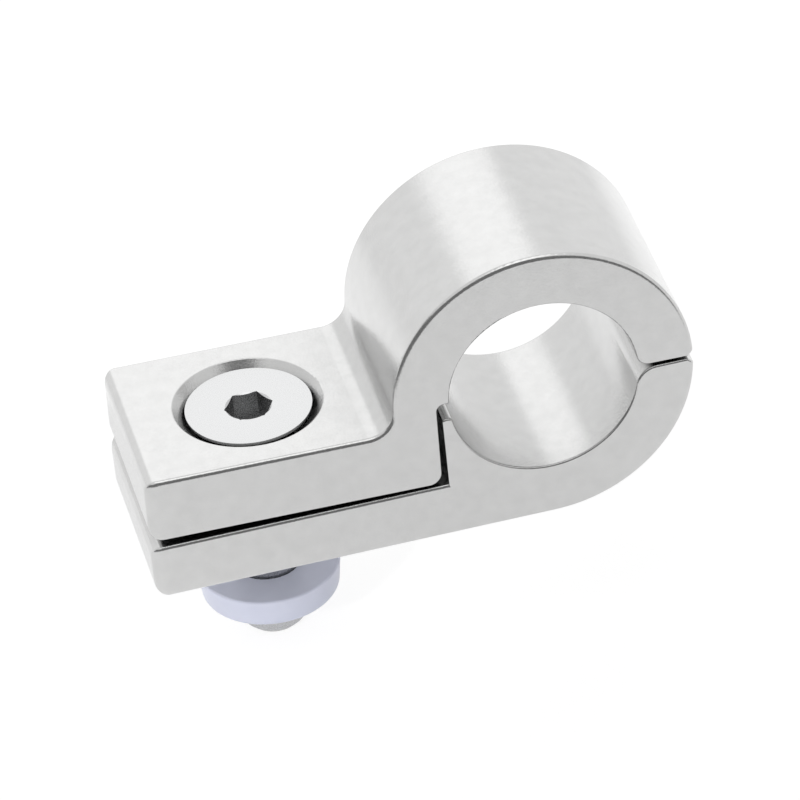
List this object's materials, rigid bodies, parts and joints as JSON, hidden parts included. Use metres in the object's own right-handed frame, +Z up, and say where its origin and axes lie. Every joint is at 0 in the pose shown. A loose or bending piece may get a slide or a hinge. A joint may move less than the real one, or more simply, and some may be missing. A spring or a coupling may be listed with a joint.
{
  "type": "p clip",
  "caption": "P-shaped split tube clamp in two cast metal jaws, closed by a countersunk hexagon-socket screw into a slot nut under its flat foot.",
  "frame": {"origin": "where the screw's axis meets the plane of the foot's flat underside", "axes": "+Z up from the foot, +X from the screw towards the tube, Y along the tube's axis"},
  "size_m": [0.0524, 0.0194, 0.041],
  "materials": {
    "jaw_metal": "satin nickel plating on a zinc die casting, with a fine cast grain",
    "screw_metal": "bright plated steel with fine turning marks on the head",
    "nut_metal": "bluish zinc plating with a fine grain"
  },
  "bodies": {
    "root": {"lower_jaw": "jaw_metal", "upper_jaw": "jaw_metal", "clamp_screw": "screw_metal", "slot_nut": "nut_metal"}
  },
  "joints": []
}
